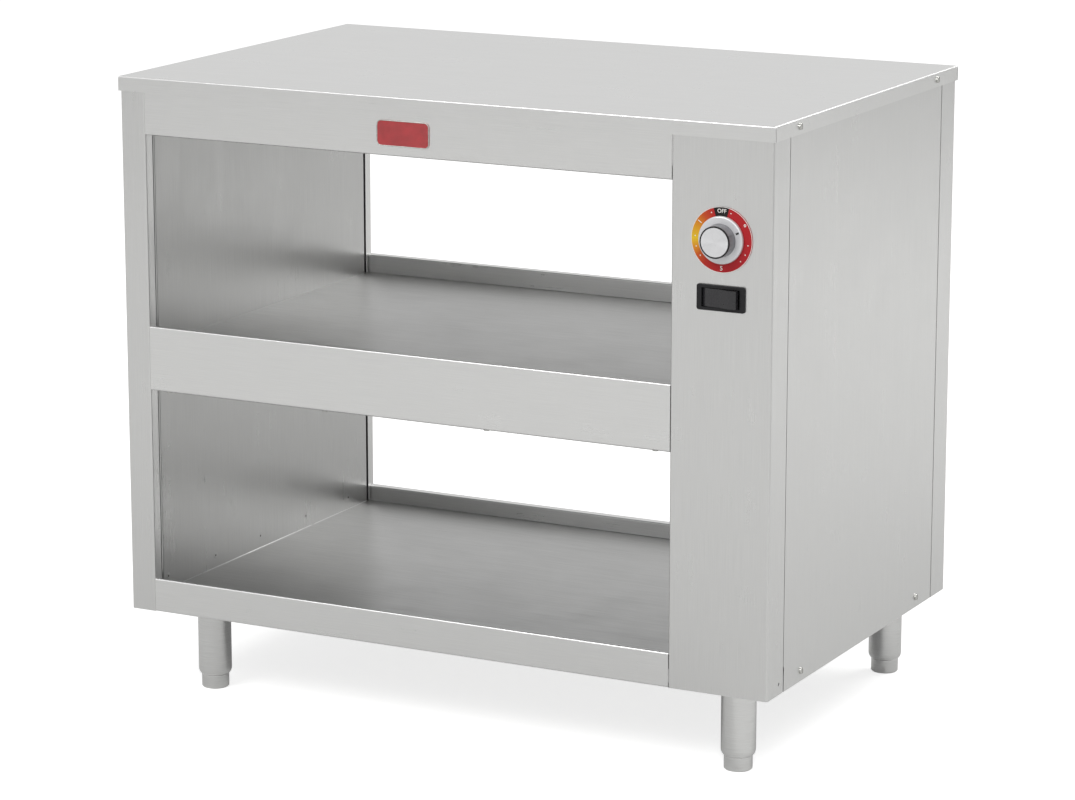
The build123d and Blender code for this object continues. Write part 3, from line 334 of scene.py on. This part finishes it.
def silver_painted_abs():
    """ABS knob with a metallic lacquer: a fine flake under the gloss, pale silver on the
    skirt and a darker grey on the gripping side, which is painted shade."""
    material, tree, shader, place = surface("silver_painted_abs", "#DADADC", 0.35, 0.34,
                                            IOR=1.5, Coat_Weight=0.25, Coat_Roughness=0.15)
    flake = grain(tree, place, (0.35 * MM,) * 3, 2.0)
    skirt = tinted(tree, between(tree, flake, 0, 1), "#D2D2D5", "#E6E6E8")
    # The darker grey of the gripping side is painted shade
    grip_painted_shade = tinted(tree, between(tree, flake, 0, 1), "#727276", "#848488")
    from_axis = add(tree, "ShaderNodeVectorMath", {0: place, 1: tuple(DIAL_CENTRE)},
                    operation="SUBTRACT").outputs["Vector"]
    flat = add(tree, "ShaderNodeVectorMath", {0: from_axis, 1: (1, 0, 1)},
               operation="MULTIPLY").outputs["Vector"]
    radius = add(tree, "ShaderNodeVectorMath", {0: flat}, operation="LENGTH").outputs["Value"]
    outside = between(tree, radius, 0, 1, GRIP_RADIUS, GRIP_RADIUS + 0.2 * MM)
    mix = add(tree, "ShaderNodeMix", {0: outside, 6: grip_painted_shade, 7: skirt}, data_type="RGBA")
    tree.links.new(mix.outputs[2], shader.inputs["Base Color"])
    raised(tree, shader, grain(tree, place, (6 * MM,) * 3, 1.0), 0.03 * MM)
    return material


def spun_aluminium():
    """Aluminium disc faced on a lathe: fine rings that pull highlights into two fans."""
    material, tree, shader, place = surface("spun_aluminium", "#E4E4E6", 1.0, 0.27,
                                            Anisotropic=0.85)
    middle = (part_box("knob_cap")[0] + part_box("knob_cap")[1]) / 2
    from_middle = add(tree, "ShaderNodeVectorMath", {0: place, 1: tuple(middle)},
                      operation="SUBTRACT").outputs["Vector"]
    radius = add(tree, "ShaderNodeVectorMath", {0: from_middle}, operation="LENGTH")
    turns = add(tree, "ShaderNodeMath", {0: radius.outputs["Value"], 1: 1 / (0.35 * MM)},
                operation="MULTIPLY").outputs[0]
    rings = add(tree, "ShaderNodeTexNoise", {"W": turns, "Scale": 1.0, "Detail": 3.0},
                noise_dimensions="1D").outputs["Fac"]
    tree.links.new(tinted(tree, between(tree, rings, 0, 1), "#D6D6D8", "#F0F0F2"),
                   shader.inputs["Base Color"])
    tangent = add(tree, "ShaderNodeTangent", direction_type="RADIAL", axis="Y")
    tree.links.new(tangent.outputs["Tangent"], shader.inputs["Tangent"])
    raised(tree, shader, rings, 0.01 * MM)
    return material


DIAL_COLOURS = ((0.0, "#A81C24"), (0.10, "#B02A20"), (0.16, "#C4561E"), (0.20, "#D48A24"),
                (0.25, "#E2BC2A"), (0.33, "#D48A24"), (0.39, "#C24E22"), (0.45, "#B32428"),
                (0.75, "#B01F27"), (1.0, "#A81C24"))


def printed_dial_film():
    """Back-printed polycarbonate film: a heat scale from yellow to red with a black OFF
    sector, flat even inks under a thin clear face."""
    material, tree, shader, place = surface("printed_dial_film", "#B01F27", 0.0, 0.35,
                                            IOR=1.58, Specular_IOR_Level=0.2)
    from_middle = add(tree, "ShaderNodeVectorMath", {0: place, 1: tuple(DIAL_CENTRE)},
                      operation="SUBTRACT").outputs["Vector"]
    parts = add(tree, "ShaderNodeSeparateXYZ", {"Vector": from_middle}).outputs
    angle = add(tree, "ShaderNodeMath", {0: parts["X"], 1: parts["Z"]},
                operation="ARCTAN2").outputs[0]
    turn = between(tree, angle, 0, 1, -math.pi, math.pi)
    ramp = add(tree, "ShaderNodeValToRGB", {"Fac": turn})
    stops = ramp.color_ramp.elements
    while len(stops) < len(DIAL_COLOURS):
        stops.new(0.5)
    for stop, (position, hex_colour) in zip(stops, DIAL_COLOURS):
        stop.position = position
        stop.color = linear(hex_colour)
    off_place = math.radians(OFF_SECTOR_MIDDLE)
    from_off = add(tree, "ShaderNodeMath", {0: angle, 1: off_place},
                   operation="SUBTRACT").outputs[0]
    away = add(tree, "ShaderNodeMath", {0: from_off}, operation="ABSOLUTE").outputs[0]
    in_off = add(tree, "ShaderNodeMath", {0: away, 1: math.radians(OFF_SECTOR_HALF)},
                 operation="LESS_THAN").outputs[0]
    inks = add(tree, "ShaderNodeMix", {0: in_off, 6: ramp.outputs["Color"],
                                       7: linear("#1A1718")}, data_type="RGBA")
    tree.links.new(inks.outputs[2], shader.inputs["Base Color"])
    wipe = grain(tree, place, (13 * MM,) * 3, 3.0)
    tree.links.new(between(tree, wipe, 0.30, 0.42), shader.inputs["Roughness"])
    raised(tree, shader, grain(tree, place, (0.8 * MM,) * 3), 0.004 * MM)
    return material


def screen_ink(name, hex_colour):
    """Screen-printed ink: even, matt, with a slightly pebbled face from the mesh."""
    material, tree, shader, place = surface(name, hex_colour, 0.0, 0.5, IOR=1.5)
    mesh_marks = grain(tree, place, (0.4 * MM,) * 3, 2.0)
    tree.links.new(between(tree, mesh_marks, 0.42, 0.58), shader.inputs["Roughness"])
    raised(tree, shader, mesh_marks, 0.004 * MM)
    return material


def vitreous_enamel():
    """Red glass fused on to a steel plate: deep, glossy, with a faint orange peel."""
    material, tree, shader, place = surface("vitreous_enamel", "#A5161E", 0.0, 0.18,
                                            IOR=1.55, Coat_Weight=0.8, Coat_Roughness=0.05)
    peel = grain(tree, place, (2.5 * MM,) * 3, 1.0)
    pool = grain(tree, place, (16 * MM,) * 3, 2.0)
    tree.links.new(tinted(tree, between(tree, pool, 0, 1), "#99121A", "#AF1B23"),
                   shader.inputs["Base Color"])
    raised(tree, shader, peel, 0.02 * MM)
    return material


def silicone_braid():
    """Silicone-coated glass braid round each lead: a fine crossed weave, off-white."""
    material, tree, shader, place = surface("silicone_braid", "#A8A69C", 0.0, 0.7, IOR=1.43)
    weave = add(tree, "ShaderNodeTexVoronoi", {"Vector": place, "Scale": 1 / (0.9 * MM)})
    raised(tree, shader, weave.outputs["Distance"], 0.1 * MM)
    return material


def weld_oxide():
    """The heat tint at the middle of a spot weld: a small dark blue-brown scorch."""
    material, tree, shader, place = surface("weld_oxide", "#3E3A38", 1.0, 0.55)
    scorch = grain(tree, place, (0.6 * MM,) * 3, 3.0)
    tree.links.new(tinted(tree, between(tree, scorch, 0, 1), "#2E2A29", "#57504C"),
                   shader.inputs["Base Color"])
    return material


NODES_WITH_GRAIN_ALONG_X = ("top_panel", "front_header", "rear_header")
TRAY_NODES = ("heated_shelf", "base_shelf")
NODES_WITH_UPRIGHT_GRAIN = ("left_side_panel", "control_panel", "rear_control_cover",
                            "right_side_panel")
BAY_WALL_NODES = ("left_liner", "control_partition")


def dress_nodes():
    """Gives every piece of the cabinet the finish of its real material."""
    level = satin_stainless_sheet("satin_stainless_level", "x")
    # The upright sheets take darker copies of the level sheet's colours: painted shade on the
    # upright faces
    upright = satin_stainless_sheet("satin_stainless_upright_painted_shade", "z", "#D0D0CF", "#D8D8D7")
    tray = scoured_tray_sheet_with_painted_shade()
    # The walls of the bays are painted darker than the outside sheet: painted shade in the bays
    bay_wall_painted_shade = satin_stainless_sheet("satin_stainless_painted_shade", "z", "#B2B2B1", "#BEBEBD")
    by_slot = {
        "galvanised_steel": galvanised_steel(),
        "turned_stainless": turned_stainless(),
        "plated_fasteners": zinc_plated_steel(),
        "heater_sheath": heater_sheath_alloy(),
        "mineral_wool": mineral_wool(),
        "phenolic": phenolic_moulding(),
        "black_nylon": black_nylon("black_nylon", "#1B1B1D", 0.42, 0.25, 0.5 * MM, 0.02 * MM),
        "printed_dial": printed_dial_film(),
        "silver_plastic": silver_painted_abs(),
        "pointer_paint": screen_ink("pointer_paint", "#141416"),
        "spun_aluminium": spun_aluminium(),
        "wire_insulation": silicone_braid(),
        "red_enamel": vitreous_enamel(),
    }
    rocker_nylon = black_nylon("black_nylon_rocker", "#242326", 0.26, 0.5, 0.4 * MM, 0.008 * MM)
    for part in frame["record"]["subparts"]:
        node = part["node"]
        if node in NODES_WITH_GRAIN_ALONG_X:
            material = level
        elif node in NODES_WITH_UPRIGHT_GRAIN:
            material = upright
        elif node in BAY_WALL_NODES:
            material = bay_wall_painted_shade
        elif node in TRAY_NODES:
            material = tray
        elif node == "rocker":
            material = rocker_nylon
        else:
            material = by_slot[part["material_slot"]]
        slots = frame["nodes"][node].material_slots
        if not slots:
            frame["nodes"][node].data.materials.append(material)
        for slot in slots:
            slot.material = material


def mesh_piece(name, mesh, material, body):
    """A mesh added to the scene in one material, riding on a body."""
    piece = bpy.data.objects.new(name, mesh)
    bpy.context.scene.collection.objects.link(piece)
    mesh.materials.append(material)
    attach(piece, body)
    return piece


def turned_form(build, profile, matrix, sides):
    """Adds a form of revolution: profile is (radius, height) pairs along +Z of matrix."""
    rings = []
    for radius, height in profile:
        if radius == 0:
            rings.append([build.verts.new(matrix @ Vector((0, 0, height)))])
            continue
        ring = []
        for i in range(sides):
            turn = 2 * math.pi * i / sides
            point = Vector((radius * math.cos(turn), radius * math.sin(turn), height))
            ring.append(build.verts.new(matrix @ point))
        rings.append(ring)
    for lower, upper in zip(rings, rings[1:]):
        for i in range(sides):
            j = (i + 1) % sides
            if len(lower) == 1:
                corners = (lower[0], upper[i], upper[j])
            elif len(upper) == 1:
                corners = (lower[i], lower[j], upper[0])
            else:
                corners = (lower[i], lower[j], upper[j], upper[i])
            build.faces.new(corners).smooth = True


def finished_mesh(name, build):
    """The mesh of a form that was built up, with its faces turned outwards."""
    bmesh.ops.recalc_face_normals(build, faces=build.faces)
    mesh = bpy.data.meshes.new(name)
    build.to_mesh(mesh)
    build.free()
    return mesh


def on_dial(angle, radius, height=0.0):
    """The frame of a mark on the dial: its +Z faces out and its +Y points away from the middle."""
    turn = Matrix.Rotation(math.radians(angle), 4, "Y")
    stand = Matrix.Rotation(math.radians(90), 4, "X")
    place = Matrix.Translation(Vector((DIAL_CENTRE.x, DIAL_FACE, DIAL_CENTRE.z)))
    return place @ turn @ Matrix.Translation((0, -height, radius)) @ stand


def print_dial():
    """The white print on the dial: an outline, setting dots, plain numbers and OFF."""
    ink = screen_ink("white_screen_ink", "#E9E6E2")
    half = PRINT_THICKNESS / 2
    dots = bmesh.new()
    for angle in DOT_ANGLES:
        profile = ((DOT_RADIUS, 0), (DOT_RADIUS, half), (DOT_FACE_RADIUS, PRINT_THICKNESS),
                   (0, PRINT_THICKNESS))
        turned_form(dots, profile, on_dial(angle, MARK_RADIUS), DOT_SIDES)
    mesh_piece("dial_dots", finished_mesh("dial_dots", dots), ink, "cabinet")
    outline = bmesh.new()
    inner = DIAL_RADIUS - OUTLINE_INNER_INSET
    outer = DIAL_RADIUS - OUTLINE_OUTER_INSET
    profile = ((inner, 0), (inner, half), (inner + half, PRINT_THICKNESS),
               (outer - half, PRINT_THICKNESS), (outer, half), (outer, 0))
    turned_form(outline, profile, on_dial(0, 0), OUTLINE_SIDES)
    mesh_piece("dial_outline", finished_mesh("dial_outline", outline), ink, "cabinet")
    for words, angle, height in DIAL_WORDS:
        text = bpy.data.curves.new("dial_mark_" + words, "FONT")
        text.body = words
        text.size = height * MM
        text.extrude = half
        text.align_x = "CENTER"
        text.align_y = "CENTER"
        text.offset = LETTER_THICKENING
        piece = bpy.data.objects.new("dial_mark_" + words, text)
        bpy.context.scene.collection.objects.link(piece)
        upside = Matrix.Rotation(math.pi, 4, "Z") if 90 < angle < 270 else Matrix.Identity(4)
        piece.matrix_world = on_dial(angle, MARK_RADIUS, half) @ upside
        text.materials.append(ink)
        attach(piece, "cabinet")


def spot_welds():
    """Rows of spot-weld dimples where the bay walls are welded to the bottom tray."""
    # The dimples take the bay walls' sheet, darkened as painted shade
    stainless = bpy.data.materials["satin_stainless_painted_shade"]
    oxide = weld_oxide()
    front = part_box("left_side_panel")[0].y
    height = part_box("left_liner")[0].z + WELD_HEIGHT
    for wall, face, turn in (("left_liner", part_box("left_liner")[1].x, 90),
                             ("control_partition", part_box("control_partition")[0].x, -90)):
        rims, middles = bmesh.new(), bmesh.new()
        for place in WELD_PLACES:
            matrix = Matrix.Translation((face, front + place, height))
            matrix = matrix @ Matrix.Rotation(math.radians(turn), 4, "Y")
            turned_form(rims, DIMPLE_PROFILE, matrix, DIMPLE_SIDES)
            turned_form(middles, SCORCH_PROFILE, matrix, SCORCH_SIDES)
        mesh_piece(f"spot_welds_{wall}", finished_mesh(f"spot_welds_{wall}", rims), stainless,
                   "cabinet")
        mesh_piece(f"spot_weld_scorch_{wall}", finished_mesh(f"spot_weld_scorch_{wall}", middles),
                   oxide, "cabinet")


def seam_beads():
    """The ground weld bead along each bay wall where it meets the bottom deck."""
    stainless = bpy.data.materials["satin_stainless_level"]
    radius = SEAM_BEAD_RADIUS
    width, reach = radius * BEAD_END_WIDTH, radius * BEAD_END_REACH
    start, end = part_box("left_liner")[0].y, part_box("left_liner")[1].y
    for wall, face in (("left_liner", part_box("left_liner")[1].x),
                       ("control_partition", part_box("control_partition")[0].x)):
        bead = bmesh.new()
        matrix = Matrix.Translation((face, end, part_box("left_liner")[0].z))
        matrix = matrix @ Matrix.Rotation(math.radians(90), 4, "X")
        profile = ((0, 0), (width, reach), (radius, radius), (radius, end - start - radius),
                   (width, end - start - reach), (0, end - start))
        turned_form(bead, profile, matrix, BEAD_SIDES)
        mesh_piece(f"seam_bead_{wall}", finished_mesh(f"seam_bead_{wall}", bead), stainless,
                   "cabinet")


def nameplate_rim():
    """A narrow bright border round the blank enamel plate."""
    low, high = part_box("nameplate")
    build = bmesh.new()
    rings = []
    for inset, out in RIM_PROFILE:
        ring = []
        radius = RIM_CORNER - inset
        for quarter, (sx, sz) in enumerate(((1, 1), (-1, 1), (-1, -1), (1, -1))):
            centre_x = (high.x - RIM_CORNER) if sx > 0 else (low.x + RIM_CORNER)
            centre_z = (high.z - RIM_CORNER) if sz > 0 else (low.z + RIM_CORNER)
            for i in range(RIM_STEPS_PER_CORNER + 1):
                turn = math.pi / 2 * (quarter + i / RIM_STEPS_PER_CORNER)
                ring.append(build.verts.new((centre_x + radius * math.cos(turn), low.y - out,
                                             centre_z + radius * math.sin(turn))))
        rings.append(ring)
    for lower, upper in zip(rings, rings[1:] + rings[:1]):
        for i in range(len(lower)):
            j = (i + 1) % len(lower)
            build.faces.new((lower[i], lower[j], upper[j], upper[i])).smooth = True
    mesh_piece("nameplate_rim", finished_mesh("nameplate_rim", build),
               bpy.data.materials["zinc_plated_steel"], "cabinet")


def lamp(name, place, target, width, height, watts):
    """A soft rectangular lamp at one point, looking at another."""
    data = bpy.data.lights.new(name, "AREA")
    data.shape = "RECTANGLE"
    data.size = width
    data.size_y = height
    data.energy = watts
    light = bpy.data.objects.new(name, data)
    bpy.context.scene.collection.objects.link(light)
    light.location = place
    light.rotation_mode = "QUATERNION"
    light.rotation_quaternion = (Vector(place) - Vector(target)).to_track_quat("Z", "Y")


def studio():
    """A white sweep of floor and room, and three soft lamps."""
    scene = bpy.context.scene
    build = bmesh.new()
    bmesh.ops.create_circle(build, cap_ends=True, segments=FLOOR_SIDES, radius=FLOOR_RADIUS)
    floor = bpy.data.objects.new("studio_floor", finished_mesh("studio_floor", build))
    scene.collection.objects.link(floor)
    material = bpy.data.materials.new("studio_floor_paper")
    material.use_nodes = True
    tree = material.node_tree
    tree.nodes.clear()
    path = add(tree, "ShaderNodeLightPath").outputs
    seen = add(tree, "ShaderNodeMath", {0: path["Is Camera Ray"], 1: FLOOR_WHITE_SEEN},
               operation="MULTIPLY").outputs[0]
    mirrored = add(tree, "ShaderNodeMath", {0: path["Is Glossy Ray"], 1: FLOOR_WHITE_MIRRORED,
                                            2: seen}, operation="MULTIPLY_ADD").outputs[0]
    white = add(tree, "ShaderNodeEmission", {"Strength": mirrored}).outputs["Emission"]
    paper = add(tree, "ShaderNodeBsdfDiffuse", {"Color": linear(FLOOR_COLOUR)}).outputs["BSDF"]
    both = add(tree, "ShaderNodeAddShader", {0: paper, 1: white}).outputs["Shader"]
    add(tree, "ShaderNodeOutputMaterial", {"Surface": both})
    floor.data.materials.append(material)

    world = bpy.data.worlds.new("studio_room")
    world.use_nodes = True
    tree = world.node_tree
    tree.nodes.clear()
    path = add(tree, "ShaderNodeLightPath").outputs
    seen = add(tree, "ShaderNodeMath", {0: path["Is Camera Ray"], 1: path["Is Glossy Ray"]},
               operation="MAXIMUM").outputs[0]
    seen = add(tree, "ShaderNodeMath", {0: seen, 1: path["Is Transmission Ray"]},
               operation="MAXIMUM").outputs[0]
    strength = add(tree, "ShaderNodeMapRange", {"Value": seen, "To Min": ROOM_LIGHT,
                                                "To Max": 1.0}).outputs["Result"]
    sky = add(tree, "ShaderNodeBackground", {"Strength": strength}).outputs["Background"]
    add(tree, "ShaderNodeOutputWorld", {"Surface": sky})
    scene.world = world

    for settings in LAMPS:
        lamp(*settings)


def camera():
    """The camera at the place and angle from which the cabinet was photographed."""
    data = bpy.data.cameras.new("photo_camera")
    data.sensor_width = SENSOR_WIDTH_MM
    data.lens = CAMERA_FOCAL_PX / PHOTO_WIDTH_PX * SENSOR_WIDTH_MM
    data.clip_end = CAMERA_REACH
    view = bpy.data.objects.new("photo_camera", data)
    bpy.context.scene.collection.objects.link(view)
    view.location = CAMERA_PLACE
    view.rotation_euler = (math.pi / 2 - CAMERA_TILT, 0, CAMERA_TURN)
    bpy.context.scene.camera = view


dress_nodes()
print_dial()
spot_welds()
seam_beads()
nameplate_rim()
studio()
camera()
bpy.context.scene.view_settings.view_transform = "Standard"
